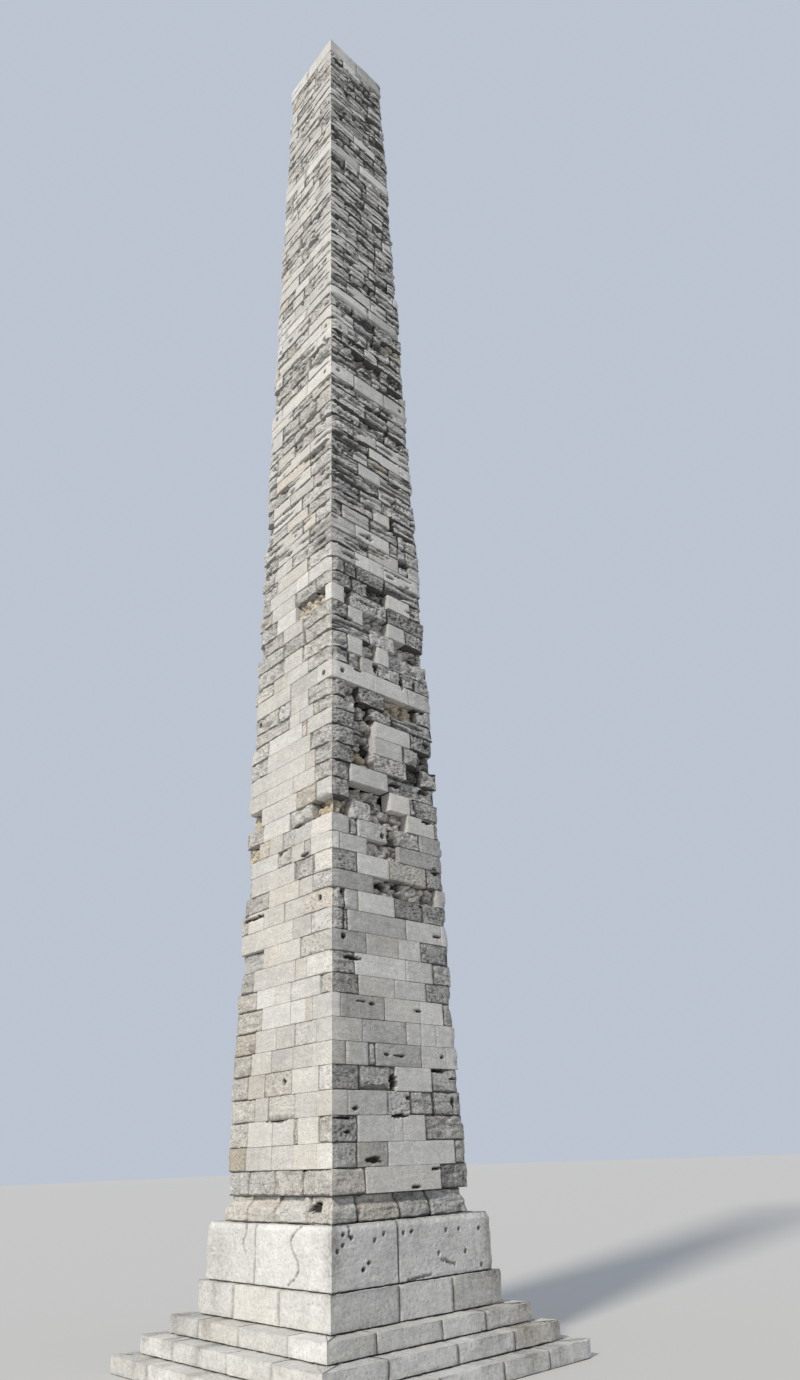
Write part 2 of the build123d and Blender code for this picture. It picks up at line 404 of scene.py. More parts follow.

# How weathered each face is and how much its stones differ in tone; how light it is; how
# far single stones stray in tone; how warm it is, how much dirt and painted shade it has
# and how deep its beds are worn. High in the shaft: how even its tones are, how far its
# joints gape, how much lighter it is and how many worn slots a course has. In rugged
# courses: how much lighter.
FaceLook = namedtuple("FaceLook", "crust contrast light own_tone warmth grime beds "
                                  "evenness gape high_light high_slots rugged_light")
face_looks = {
    "front": FaceLook(0.8, 1.0, 0.018, 0.056, -0.10, 0.9, 1.0, 0.65, 1.0, 0.06, 6, 0.065),
    "left": FaceLook(0.18, 0.6, 0.060, 0.060, 0.03, 0.50, 0.30, 0.8, 0.8, 0.01, 4, -0.02),
    "right": FaceLook(0.7, 0.7, 0.04, 0.045, 0.0, 0.45, 0.3, 0.6, 0.25, 0.07, 1, 0.0),
    "back": FaceLook(0.8, 0.8, 0.0, 0.050, 0.0, 0.5, 0.4, 0.6, 0.25, 0.07, 1, 0.0),
}

# The tone and the ruggedness that these differences are counted from
even_tone = 0.60
even_ruggedness = 1.3


# A shuffled table and a table of random numbers, which all the noise is made from
table_size = 1024
table_chance = np.random.default_rng(11)
shuffle = table_chance.permutation(table_size)
chances = table_chance.random(table_size)


def at_lattice(x, y, seed):
    """A repeatable random number from 0 to 1 for each whole-number point."""
    return chances[shuffle[(shuffle[(x + seed) % table_size] + y) % table_size]]


def noise(x, y, seed):
    """Smooth noise from 0 to 1 with one bump to each unit of length."""
    left = np.floor(x).astype(int)
    low = np.floor(y).astype(int)
    u = x - left
    v = y - low
    u = u * u * (3 - 2 * u)
    v = v * v * (3 - 2 * v)
    lower = at_lattice(left, low, seed) * (1 - u) + at_lattice(left + 1, low, seed) * u
    upper = at_lattice(left, low + 1, seed) * (1 - u) + at_lattice(left + 1, low + 1, seed) * u
    return lower * (1 - v) + upper * v


def rough_noise(x, y, seed, octaves=3):
    """Noise with finer and finer bumps, from about -1 to 1."""
    finer = 2.03
    total = 0
    for octave in range(octaves):
        bumps = noise(x * finer ** octave, y * finer ** octave, seed + octave * 37)
        total = total + (2 * bumps - 1) / 2 ** octave
    return total / 1.5


def cell_distance(x, y, seed):
    """Distance to the nearest of one random point in each unit cell."""
    left = np.floor(x).astype(int)
    low = np.floor(y).astype(int)
    nearest = np.full(np.shape(x), np.inf)
    for step_x in (-1, 0, 1):
        for step_y in (-1, 0, 1):
            cell_x = left + step_x
            cell_y = low + step_y
            point_x = cell_x + at_lattice(cell_x, cell_y, seed)
            point_y = cell_y + at_lattice(cell_x, cell_y, seed + 101)
            nearest = np.minimum(nearest, np.hypot(x - point_x, y - point_y))
    return nearest


def ramp(value, low, high):
    """0 below low, 1 above high and a smooth rise between them."""
    share = np.clip((value - low) / (high - low), 0, 1)
    return share * share * (3 - 2 * share)


def upright(share, along):
    """The profile of a course that isn't worn back as a whole."""
    return 0 * share


class Ring:
    """One square ring of masonry: its middle, its half width by height and its meshing."""

    def __init__(self, middle, half, bottom, top, mesh, corner_wear):
        self.middle = middle
        self.half = half
        self.bottom = bottom
        self.top = top
        self.cell, self.hidden_cell, row_height = mesh
        self.rows = max(3, round((top - bottom) / row_height))
        self.corner_wear = corner_wear
        self.marks = {}
        self.profile = upright
        self.ledge = 0.0
        self.height_wear = 0.0
        self.rugged = 1.0

    def width(self):
        """How wide each face is at half the ring's height."""
        return 2 * self.half((self.bottom + self.top) / 2)

    def place(self, face, along, depth, height):
        """Points in the part's frame from places on one face."""
        half = self.half(height)
        run = along * 2 * half / self.width() - half
        out = (half - depth) * (1 if face in ("right", "back") else -1)
        x, y = self.middle
        if face in ("front", "back"):
            return np.stack([x + run, y + out, height], axis=-1)
        return np.stack([x + out, y + run, height], axis=-1)


class Piece:
    """The points, faces and looks of one piece, gathered stone by stone."""

    def __init__(self):
        self.points = []
        self.quads = []
        self.finishes = []
        self.looks = []
        self.count = 0

    def add_grid(self, points, look, finish, turned):
        """Adds a grid of points as faces that look outward."""
        rows, columns = points.shape[:2]
        index = np.arange(rows * columns).reshape(rows, columns) + self.count
        a, b = index[:-1, :-1].ravel(), index[:-1, 1:].ravel()
        c, d = index[1:, 1:].ravel(), index[1:, :-1].ravel()
        quads = np.stack([d, c, b, a] if turned else [a, b, c, d], axis=-1)
        self.points.append(points.reshape(-1, 3))
        self.looks.append(look.reshape(-1, 4))
        self.quads.append(quads)
        self.finishes.append(np.full(len(quads), list(finishes).index(finish)))
        self.count += rows * columns


# The pieces by name. A piece is made when its first stone is laid.
pieces = defaultdict(Piece)


def looks_of(like, tone, warm, crust, grime):
    """The tone, warmth, crust, and dirt and painted shade of every point of a grid."""
    return np.stack([like * 0 + value for value in (tone, warm, crust, grime)], axis=-1)


def corner_erosion(corner, ring, heights):
    """How far one corner of a course is worn back, by height."""
    light, heavy = ring.corner_wear[corner]
    number = sorted(ring.corner_wear).index(corner) * 7
    course_share = at_lattice(np.array(number), np.array(round(ring.bottom * 100)), 5)
    ragged = noise(heights * 9, heights * 0 + number, 17)
    return light + (heavy - light) * (0.65 * course_share ** 2 + 0.5 * ragged ** 2)


def edge_steps(length, cell):
    """Shares of a length for the lines of a mesh, with a narrow strip at either end."""
    count = max(2, round((length - 2 * bevel) / cell))
    inner = np.linspace(bevel, length - bevel, count + 1)
    return np.concatenate([[0.0], inner, [length]]) / length


# A socket or hollow: where it is, half its length and height, how deep it is, and
# whether it is a drilled socket
mark_parts = "along level half_length half_height depth is_round"
Mark = namedtuple("Mark", mark_parts, defaults=[False])


def written_marks(face):
    """The sockets and hollows written down for one face of the shaft, in metres."""
    marks = []
    for along, height in sockets.get(face, ()):
        level = shaft_bottom + height / 100
        marks.append(Mark(along / 100, level, socket_mouth, socket_mouth, socket_depth, True))
    for hollow in hollows.get(face, ()):
        along, height, half_length, half_height, depth = (value / 100 for value in hollow)
        marks.append(Mark(along, shaft_bottom + height, half_length, half_height, depth))
    return marks


def drawn_marks(ring, slots, chance):
    """Worn slots at a course's beds and a few small holes, at random places."""
    marks = []
    if not slots:
        return marks
    low, high = ring.bottom, ring.top
    width = 2 * ring.half(low)
    taller = 1 + 0.5 * ring.height_wear
    for _ in range(slots):
        level = low + (high - low) * chance.choice([0.0, 0.0, 0.5, 0.75, 1.0])
        half_length = chance.uniform(*slot_half_length)
        half_height = taller * chance.uniform(*slot_half_height)
        marks.append(Mark(chance.uniform(0, width), level, half_length, half_height, slot_depth))
    for _ in range(chance.integers(0, 2 + round(2 * ring.height_wear))):
        level = chance.uniform(low + 0.06, high - 0.06)
        half = chance.uniform(*hole_half_size) * taller
        marks.append(Mark(chance.uniform(0.1, width - 0.1), level, half, half, hole_depth))
    return marks


def crack_marks(crack, top):
    """A chain of small hollows along one swaying crack."""
    along, below, end_along, end_below, sway = (value / 100 for value in crack)
    links = max(4, round(math.hypot(end_along - along, end_below - below) / crack_link))
    marks = []
    for share in np.linspace(0, 1, links + 1):
        place = along + (end_along - along) * share + sway * math.sin(2 * math.pi * share)
        level = top - below - (end_below - below) * share
        marks.append(Mark(place, level, crack_half_width, crack_half_width, crack_depth))
    return marks


def near_ring(marks, ring):
    """The marks that reach into one course."""
    return [
        mark for mark in marks
        if ring.bottom - mark.half_height < mark.level < ring.top + mark.half_height
    ]


class Stone:
    """One stone of a course: its worn face, its beds, its upright sides and its back."""

    def __init__(self, ring, face, block, recess_at, seed, neighbours):
        self.ring = ring
        self.face = face
        self.start, self.end, self.kind, self.broken, self.gone = block
        self.look = kinds[self.kind]
        self.side = face_looks[face]
        self.finish = self.look.finish if ring.bottom > shaft_bottom - 0.01 else "marble"
        self.turned = face in turned_faces
        self.corners = corners_of_face[face]
        self.recess_at = recess_at
        self.seed = seed
        self.follows, self.is_followed = neighbours
        self.marks = [
            mark for mark in ring.marks.get(face, ())
            if self.start - mark.half_length < mark.along < self.end + mark.half_length
        ]
        self.set_out()
        self.shape_beds()
        self.shape_sides()
        self.wear_face()
        self.cut_marks()
        self.meet_corners()
        self.colour()

    def waver(self, along, height, number):
        """Smooth noise of this stone's own, from 0 to 1."""
        return noise(along, height, (self.seed + 31 * number) % 997)

    def wandering(self, number):
        """How far a long edge wanders, as a share of what its kind may."""
        level = self.height * 0
        broad = self.waver(self.along * 9, level, number)
        return broad + 0.6 * self.waver(self.along * 31, level, number + 1)

    def cell(self):
        """How wide the cells of the stone's mesh are."""
        if any(mark.is_round for mark in self.marks) and not self.ring.ledge:
            return small_mark_cell
        cell = self.ring.cell if self.face in shown_faces else self.ring.hidden_cell
        if self.kind in smooth_kinds and not self.marks:
            return cell * smooth_cell_factor
        return cell

    def set_out(self):
        """The stone's even grid, and how near each point is to a corner of the course."""
        ring = self.ring
        span = ring.top - ring.bottom
        self.across = edge_steps(self.end - self.start, self.cell())[None, :]
        self.up = edge_steps(span, span / ring.rows)[:, None]
        self.along = self.start + (self.end - self.start) * self.across + 0 * self.up
        self.height = ring.bottom + span * self.up + 0 * self.across
        near_start = 1 - ramp(self.along, 0, corner_reach)
        near_end = 1 - ramp(ring.width() - self.along, 0, corner_reach)
        self.near_start = near_start * (not self.follows)
        self.near_end = near_end * (not self.is_followed)

    def shape_beds(self):
        """Moves the grid's rows between the stone's uneven lower and upper edge."""
        ring, along, level = self.ring, self.along, self.height * 0
        near = np.maximum(self.near_start, self.near_end)
        far = 1 - near
        self.wear = ring.height_wear * (self.kind != "W")
        joint = (self.look.joint + wider_joint * self.wear) * far + corner_joint * near
        opened = open_joint * self.wear * far * self.side.gape
        wander = self.look.wander * far
        low = ring.bottom + joint + wander * self.wandering(1)
        low = low + opened * ramp(self.waver(along * 2.7, level, 12), 0.42, 0.62)
        if self.broken:
            low = low + far * broken_height * ramp(self.waver(along * 4, level, 3), 0.25, 0.85)
        high = ring.top - joint - wander * self.wandering(4)
        high = high - 0.5 * opened * ramp(self.waver(along * 3.3, level, 13), 0.45, 0.65)
        self.height = low + (high - low) * self.up

    def shape_sides(self):
        """Moves the grid's columns between the stone's uneven upright sides."""
        ring, height = self.ring, self.height
        wander = self.look.wander * (1 - 0.5 * self.wear)
        self.first = self.start + self.look.joint + wander * self.waver(height * 9, height * 0, 6)
        self.last = self.end - self.look.joint - wander * self.waver(height * 9, height * 0, 7)
        self.erosion = [corner_erosion(corner, ring, height) for corner in self.corners]
        back_at_start, back_at_end = (
            erosion + self.recess_at[corner][1]
            for corner, erosion in zip(self.corners, self.erosion)
        )
        if not self.follows:
            self.first = back_at_start
        if not self.is_followed:
            self.last = ring.width() - back_at_end
        self.along = self.first + (self.last - self.first) * self.across

    def worn_edges(self):
        """How far the face is rounded off towards the stone's edges."""
        along, height, ring = self.along, self.height, self.ring
        self.from_bed = np.minimum(height - ring.bottom, ring.top - height)
        from_first = along - self.first + (not self.follows)
        from_last = self.last - along + (not self.is_followed)
        self.from_side = np.minimum(from_first, from_last)
        radius = self.look.worn * (0.55 + 0.9 * self.waver(along * 7, height * 7, 8))
        worn = 0
        for distance in (self.from_bed, self.from_side):
            share = np.clip(distance / np.maximum(radius, 1e-4), 0, 1)
            worn = worn + radius * (1 - np.sqrt(1 - (1 - share) ** 2))
        return worn

    def pitted(self):
        """Pits of two sizes, in patches."""
        along, height = self.along, self.height
        seed = self.seed % 59
        pit, small_pit = (
            ramp(cell_distance(along / length, height / tall, seed + more), 0.42, 0.14)
            for (length, tall), more in ((pit_cell, 0), (small_pit_cell, 60))
        )
        patchy = ramp(self.waver(along * 6, height * 9, 9), 0.3, 0.65)
        depth = self.look.pits * self.ruggedness
        return depth * (0.65 * pit * patchy + 0.55 * small_pit * (1 - 0.5 * patchy))

    def bedded(self):
        """Soft beds in the stone, worn out to long shallow slots, and one deeper slot."""
        along, height, ring = self.along, self.height, self.ring
        rate = 17 - 2 * ring.height_wear
        sway = 0.9 * rough_noise(along * 2.6, height * 3, self.seed % 43, 2)
        layers = self.waver(along * 1.9, height * rate + sway, 10)
        soft = self.kind not in hard_kinds
        deepest = self.look.beds + high_bed_depth * ring.height_wear * soft
        share = 0.35 + 0.3 * chances[self.seed % table_size]
        middle = ring.bottom + (ring.top - ring.bottom) * share + 0.012 * sway
        in_slot = 1 - ramp(np.abs(height - middle), 0.006, 0.022)
        along_slot = ramp(self.waver(along * 3.1, height * 0, 11), 0.35, 0.5)
        beds = ramp(layers, 0.62, 0.73) + 1.3 * in_slot * along_slot
        return deepest * beds * self.side.beds

    def between_cobbles(self):
        """0 on the rubble's cobbles and 1 deep between them; 0 all over on a cut stone."""
        if self.look.finish != "rubble":
            return 0 * self.along
        length, tall = cobble_cell
        distance = cell_distance(self.along / length, self.height / tall, self.seed % 31)
        return ramp(distance, 0.3, 0.7)

    def wear_face(self):
        """How far each point of the face lies behind the wall's plane."""
        look = self.look
        own_out, self.own_tone, self.own_warm = np.random.default_rng(self.seed).normal(size=3)
        self.ruggedness = 1 if self.kind in smooth_kinds else self.ring.rugged
        roughness = look.rough * self.ruggedness
        rough = roughness * rough_noise(self.along * 7.5, self.height * 10, self.seed % 37, 4)
        pitted, bedded, between = self.pitted(), self.bedded(), self.between_cobbles()
        depth = self.worn_edges() + pitted + bedded + rough + 0.2 * roughness
        self.depth = depth + 0.5 * look.out * own_out + cobble_depth * between
        # how far each point stands out or sinks in, for the painted highlight and shade on the tone
        self.relief = np.clip((0.4 * roughness - rough - pitted - 0.6 * bedded) / full_relief, -1, 1)
        self.soil_and_shade(pitted, bedded, between)

    def soil_and_shade(self, pitted, bedded, between):
        """How dark the dirt and painted shade are in the pits and beds, along the joints, in robbed
        places and between cobbles.
        """
        look, ring = self.look, self.ring
        # dirt and painted shade: pits, soft beds and the rough edges beside joints are darkened,
        # partly for the shade that falls in them
        hollow = np.clip((pitted - 0.003) / 0.014, 0, 1) + np.clip((bedded - 0.004) / 0.022, 0, 1)
        grime = np.clip(hollow, 0, 1) * (0.56 + 0.8 * look.crust + 0.12 * ring.height_wear)
        beside_joint = 1 - ramp(np.minimum(self.from_bed, self.from_side), *joint_dirt_and_shade_reach)
        uneven = 0.2 + 0.8 * ramp(self.waver(self.along * 5, self.height * 5, 14), 0.35, 0.65)
        rough_edged = 0.6 * ring.rugged * beside_joint * uneven * (look.worn > sharp_edge)
        # painted shade: a robbed place is darker the deeper its stone is gone
        self.grime = np.maximum(grime, rough_edged) + 0.4 * self.gone
        # painted shade: the deep gaps between the rubble's cobbles are darkened
        if look.finish == "rubble":
            self.grime = np.maximum(0.6 * self.grime, 0.85 * between ** 2)

    def set_back(self, along):
        """How far the course's own profile lies behind the wall's plane."""
        ring = self.ring
        return ring.profile((self.height - ring.bottom) / (ring.top - ring.bottom), along)

    def cut_marks(self):
        """Cuts the sockets and hollows that touch the stone, and paints shade in them that is darker
        the deeper they are.
        """
        along, height = self.along, self.height
        self.painted_hole_shade = np.zeros_like(along)
        for mark in self.marks:
            ragged = 0 if mark.is_round else rough_noise(along * 22, height * 30, self.seed % 29, 2)
            reach = np.hypot((along - mark.along) / mark.half_length,
                             (height - mark.level) / mark.half_height) + 0.55 * ragged
            self.depth = self.depth + mark.depth * (1 - ramp(reach, *hole_edge))
            # painted shade in the hole: darker the deeper it is, and a little lighter high in the
            # shaft
            darkness = min(mark.depth / dark_from_depth, 1) * (1 - 0.45 * self.ring.height_wear)
            self.painted_hole_shade = np.maximum(self.painted_hole_shade, darkness * (1 - ramp(reach, *hole_shade)))
        self.depth = np.maximum(self.depth + self.set_back(along), least_depth) + self.gone

    def meet_corners(self):
        """Brings the faces on both sides of a corner to the same worn edge."""
        rounded = bed_rounding * (1 - np.clip(self.from_bed / bed_rounding, 0, 1)) ** 2
        shared = rounded + self.set_back(self.along * 0)
        depth = self.depth
        ends = (self.near_start, self.near_end)
        for corner, erosion, near in zip(self.corners, self.erosion, ends):
            edge = erosion + self.recess_at[corner][0] + shared
            self.depth = self.depth + (edge - depth) * near
        self.along = self.along + shared * (self.near_start - self.near_end)

    def colour(self):
        """The stone's tone with its painted highlights and shade, its warmth, its crust, and its
        dirt and painted shade.
        """
        look, side, ring = self.look, self.side, self.ring
        high_up = max((ring.bottom - shaft_bottom) / (shaft_top - shaft_bottom), 0)
        evenness = side.evenness * ring.height_wear
        tone = even_tone + (look.tone - even_tone) * side.contrast * (1 - evenness)
        tone = tone + side.own_tone * (1 - 0.4 * evenness) * self.own_tone
        tone = tone + side.light + side.high_light * ring.height_wear
        tone = tone + side.rugged_light * (ring.rugged - even_ruggedness)
        # painted highlights on the raised points of the face and painted shade in its hollows
        tone = tone + relief_highlight_and_shade * self.relief
        warm = look.warm * (1 - 0.45 * high_up) + side.warmth + 0.17 * self.own_warm
        crust = look.crust * side.crust * (1 - 0.3 * ring.height_wear) + 0.05 * self.own_warm
        washed = self.grime * side.grime * (1 - washed_share * self.upturned())
        # painted shade in the holes, laid over the dirt and painted shade
        grime = np.maximum(washed, hole_shade_strength * self.painted_hole_shade)
        self.looks = np.clip(looks_of(self.along, tone, warm, crust, grime), 0, 1)
        if look.finish == "marble":
            self.looks[..., 1:3] += self.stained()[..., None] * (0.30, 0.8)

    def upturned(self):
        """Where the worn face looks upward, so that the rain washes it, from 0 to 1."""
        rise = np.maximum(np.gradient(self.height, axis=0), 1e-4)
        return ramp(np.gradient(self.depth, axis=0) / rise, *washing_slopes)

    def stained(self):
        """Uneven dark runs from the stone's top edge downwards."""
        across = noise(self.along * 3.2 + faces.index(self.face) * 40, self.height * 0.5, 71)
        broad = noise(self.along * 1.1, self.height * 1.3, 72)
        fading = 1 - 0.7 * (self.ring.top - self.height) / (self.ring.top - self.ring.bottom)
        return ramp(0.7 * across + 0.5 * broad, 0.55, 0.95) * fading

    def lay(self, piece, along, depth, height, looks, turned=False):
        """Adds one sheet of the stone's surface to a piece."""
        points = self.ring.place(self.face, along, depth, height)
        piece.add_grid(points, looks, self.finish, self.turned != turned)

    def add_to(self, piece):
        """Adds the whole stone to a piece."""
        self.lay(piece, self.along, self.depth, self.height, self.looks)
        height_wear = self.ring.height_wear
        # painted shade and dirt on the beds and sides inside the joints, darkest in the gaping
        # joints high up
        joint_dirt_and_shade = open_joint_dirt_and_shade * self.ring.rugged
        if self.look.worn < mortared_edge:
            joint_dirt_and_shade = tight_joint_dirt_and_shade
        joint_dirt_and_shade = joint_dirt_and_shade + (high_joint_dirt_and_shade - joint_dirt_and_shade) * height_wear
        self.joint_looks = self.looks.copy()
        self.joint_looks[..., 3] = np.maximum(self.looks[..., 3], joint_dirt_and_shade * self.side.grime)
        inner = deep_stone_depth if self.gone else stone_depth
        self.inner = self.ring.ledge or max(inner, self.gone + stone_behind_robbed_place)
        self.mortar = 0.008 + 0.8 * self.look.worn + 0.055 * height_wear
        self.add_bed(piece, 0, self.ring.bottom)
        if self.ring.ledge:
            self.add_ledge(piece)
        else:
            self.add_bed(piece, -1, self.ring.top, upward=True)
        if self.follows:
            self.add_upright(piece, 0, self.start)
        if self.is_followed:
            self.add_upright(piece, -1, self.end, turned=True)
        self.add_back(piece)

    def reach(self, row, depth):
        """How deep a bed runs before it meets the next face's bed at the mitre."""
        limit = np.zeros_like(self.along[row]) + depth
        if not self.follows:
            limit = np.minimum(limit, self.along[row])
        if not self.is_followed:
            limit = np.minimum(limit, self.ring.width() - self.along[row])
        return np.maximum(limit, self.depth[row] + least_depth)

    def add_bed(self, piece, row, bed, upward=False):
        """The upper or the lower bed, which closes on the mortar behind the joint."""
        edge = self.depth[row]
        depth = np.stack([edge, self.reach(row, edge + self.mortar), self.reach(row, self.inner)])
        nominal = np.full_like(edge, bed)
        height = np.stack([self.height[row], nominal, nominal])
        looks = np.stack([self.joint_looks[row]] * 3)
        # painted shade: the lower bed, the underside of the stone, keeps the joint's full darkness
        # and the upper bed only a share
        looks[..., 3] *= upper_bed_shade_share if upward else 1
        along = np.stack([self.along[row]] * 3)
        self.lay(piece, along, np.maximum.accumulate(depth), height, looks, not upward)

    def add_ledge(self, piece):
        """The worn tread of a step, or the shelf round the shaft's foot."""
        shares = np.linspace(0, 1, 10)[:, None]
        depth = self.depth[-1] + (self.reach(-1, self.inner) - self.depth[-1]) * shares
        along = self.along[-1] + 0 * shares
        worn = tread_wear * rough_noise(along * 5, depth * 9, 19)
        height = self.height[-1] + np.minimum(worn, 0) * ramp(shares, 0, 0.2)
        looks = np.repeat(self.joint_looks[-1][None], len(shares), axis=0)
        looks[..., 3] = tread_grime
        self.lay(piece, along, depth, height, looks)

    def add_upright(self, piece, column, place, turned=False):
        """One upright side, where another stone stands beside this one."""
        edge = self.depth[:, column]
        inner = np.maximum(self.inner, edge + least_depth)
        depth = np.stack([edge, np.minimum(edge + self.mortar, inner), inner])
        side = np.full_like(edge, place)
        along = np.stack([self.along[:, column], side, side])
        height = np.stack([self.height[:, column]] * 3)
        looks = np.stack([self.joint_looks[:, column]] * 3)
        self.lay(piece, along, depth, height, looks, turned)

    def add_back(self, piece):
        """The flat back of the stone."""
        ends = [0, -1]
        depth = np.stack([self.reach(row, self.inner) for row in ends])[:, ends]
        along = np.stack([self.along[row] for row in ends])[:, ends]
        height = np.array([[self.ring.bottom] * 2, [self.ring.top] * 2])
        looks = np.stack([self.joint_looks[row] for row in ends])[:, ends]
        self.lay(piece, along, depth, height, looks, turned=True)


# One block of a row in metres: where it starts and ends, its kind, whether its lower edge
# is broken away, and how much stone is gone from its face
Block = namedtuple("Block", "start end kind broken gone", defaults=[False, 0.0])


def read_row(text, width):
    """The blocks of a written row."""
    blocks = []
    start = 0.0
    for end, kind, broken, gone in re.findall(r"(\d+)([A-Z])(b?)(\d*)", text):
        blocks.append(Block(start, int(end) / 100, kind, bool(broken), int(gone or 0) / 100))
        start = blocks[-1].end
    blocks[-1] = blocks[-1]._replace(end=width)
    return blocks


# What the rows that aren't written out are made of: low in the shaft, high up, in the
# course of long stones and in the pale courses
low_chances = {"S": 0.34, "M": 0.20, "G": 0.08, "D": 0.13, "R": 0.15, "B": 0.05, "T": 0.05}
high_chances = {
    "front": {"S": 0.04, "M": 0.14, "G": 0.20, "D": 0.16, "R": 0.20, "B": 0.24, "T": 0.02},
    "left": {"S": 0.20, "M": 0.34, "P": 0.10, "R": 0.20, "B": 0.12, "T": 0.04},
    "right": {"S": 0.10, "M": 0.24, "G": 0.08, "D": 0.12, "R": 0.22, "B": 0.22, "T": 0.02},
    "back": {"S": 0.10, "M": 0.22, "G": 0.12, "D": 0.12, "R": 0.22, "B": 0.20, "T": 0.02},
}
long_chances = {"S": 0.7, "M": 0.3}
band_chances = {
    "front": {"W": 0.45, "M": 0.35, "G": 0.20},
    "left": {"W": 1.0},
    "right": {"W": 0.7, "M": 0.3},
    "back": {"W": 0.7, "M": 0.3},
}
pale_courses = ("pale_band_course_1", "pale_band_course_2", "pale_band_course_3", "top_course")

# What is left of a block beside a robbed place counts as gone when it is shorter than this
least_block = 0.04


def mix_of(face, course, node):
    """The kinds of a drawn row with their weights, and its shortest and longest block."""
    if node in pale_courses:
        return band_chances[face], 0.62, 1.15
    if node == "long_stone_course":
        return long_chances, 0.70, 1.25
    if course < high_from_course:
        return low_chances, 0.38, 0.95
    return high_chances[face], 0.30, 0.85


def drawn_row(face, course, node, width, chance):
    """A row of blocks with random lengths and kinds."""
    mix, shortest, longest = mix_of(face, course, node)
    letters = list(mix)
    weights = np.array(list(mix.values()))
    breakable = "WMGDRB" if node in pale_courses and face != "left" else "DRB"
    broken_share = 0.5 if course >= high_from_course else 0.3
    blocks = []
    start = 0.0
    while start < width:
        end = start + chance.uniform(shortest, longest)
        if end > width - 0.6 * shortest:
            end = width
        kind = letters[chance.choice(len(letters), p=weights / weights.sum())]
        broken = kind in breakable and chance.random() < broken_share
        blocks.append(Block(start, end, kind, broken))
        start = end
    return blocks


def with_robbed_place(blocks, place):
    """A row in which the blocks over one stretch are gone."""
    low, high, gone = (value / 100 for value in place)
    kept = [Block(low, min(high, blocks[-1].end), "H", False, gone)]
    kept += [block._replace(end=min(block.end, low)) for block in blocks if block.start < low]
    kept += [block._replace(start=max(block.start, high)) for block in blocks if block.end > high]
    return [block for block in sorted(kept) if block.end - block.start > least_block]


def row_of(face, course, node, width, chance):
    """The blocks of one course on one face."""
    written = {"front": front_rows, "left": left_rows}.get(face, ())
    if course < len(written):
        return read_row(written[course], width)
    blocks = drawn_row(face, course, node, width, chance)
    if (face, course) in robbed_places:
        blocks = with_robbed_place(blocks, robbed_places[face, course])
    return blocks


def lay_course(ring, rows, owner, number):
    """Lays the four rows of one course round its corners."""
    gone_at = {corner: {} for corner in shaft_wear}
    for face, row in rows.items():
        for corner, block in zip(corners_of_face[face], (row[0], row[-1])):
            gone_at[corner][face] = block.gone
    for face, row in rows.items():
        recess_at = {}
        for corner in corners_of_face[face]:
            other = [gone for name, gone in gone_at[corner].items() if name != face][0]
            recess_at[corner] = (gone_at[corner][face], other)
        for i, block in enumerate(row):
            seed = number * 1009 + faces.index(face) * 97 + i * 13 + 7
            neighbours = (i > 0, i < len(row) - 1)
            key = (face, number, round(block.start * 100))
            name = single_stones.get(key) or owner(face, block)
            Stone(ring, face, block, recess_at, seed, neighbours).add_to(pieces[name])


def always(value):
    """A function that gives one value for everything."""
    return lambda *_: value


def span_of(node):
    """The bottom and the top of a node of the frame."""
    low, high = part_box(node)
    return low[2], high[2]


def half_width(node):
    """Half the width of a node of the frame."""
    low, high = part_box(node)
    return (high[0] - low[0]) / 2


# The shaft's own sizes, read from the frame
shaft_bottom = span_of("undercut_base_course")[0]
top_course_bottom, shaft_top = span_of("top_course")
shaft_middle = [(low + high) / 2 for low, high in zip(*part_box("undercut_base_course"))][:2]
bottom_half = half_width("undercut_base_course")
shaft_taper = (bottom_half - half_width("top_course")) / (top_course_bottom - shaft_bottom)


def shaft_half(height):
    """Half the shaft's width at a height."""
    return bottom_half - shaft_taper * (height - shaft_bottom)


# How far the corners are worn back: least and most
shaft_wear = {
    "front_left": (0.006, 0.040),
    "front_right": (0.012, 0.085),
    "back_left": (0.010, 0.075),
    "back_right": (0.010, 0.075),
}
heavy_wear = {**shaft_wear, "front_left": (0.020, 0.095)}
heavily_worn_courses = (9, 10, *range(12, 16), *range(20, 26), *range(27, 31), 32, 33, 43, 44, 52)
base_wear = dict.fromkeys(shaft_wear, (0.006, 0.030))
pyramid_wear = dict.fromkeys(shaft_wear, (0.004, 0.020))

# Course numbers of the masonry outside the shaft, which its seeds are made from
pyramid_number = 90
step_number = 200
pedestal_number = 210


def course_levels():
    """Bottom, top and node of every course of the shaft."""
    levels = []
    for node, uneven in stages.items():
        low, high = span_of(node)
        uneven = np.array(uneven) / 100
        heights = (high - low) / len(uneven) + uneven - uneven.mean()
        bounds = np.concatenate([[low], low + np.cumsum(heights)])
        levels += [(bottom, top, node) for bottom, top in zip(bounds, bounds[1:])]
    return levels


def undercut(share, along):
    """The lowest course, worn back below the course that it carries."""
    ragged = 0.7 + 0.6 * noise(along * 3, share * 3, 23)
    return undercut_depth * ramp(share, 0.45, 0.85) * ragged


def lip(share, along):
    """The worn slope round the pedestal's top."""
    return lip_depth * ramp(share, 0.88, 1.0)


def slots_on(face, number, node):
    """How many worn slots one face of a course has."""
    if node in pale_courses:
        return 0
    if number >= high_from_course:
        return face_looks[face].high_slots
    return 0 if face in shown_faces else 1


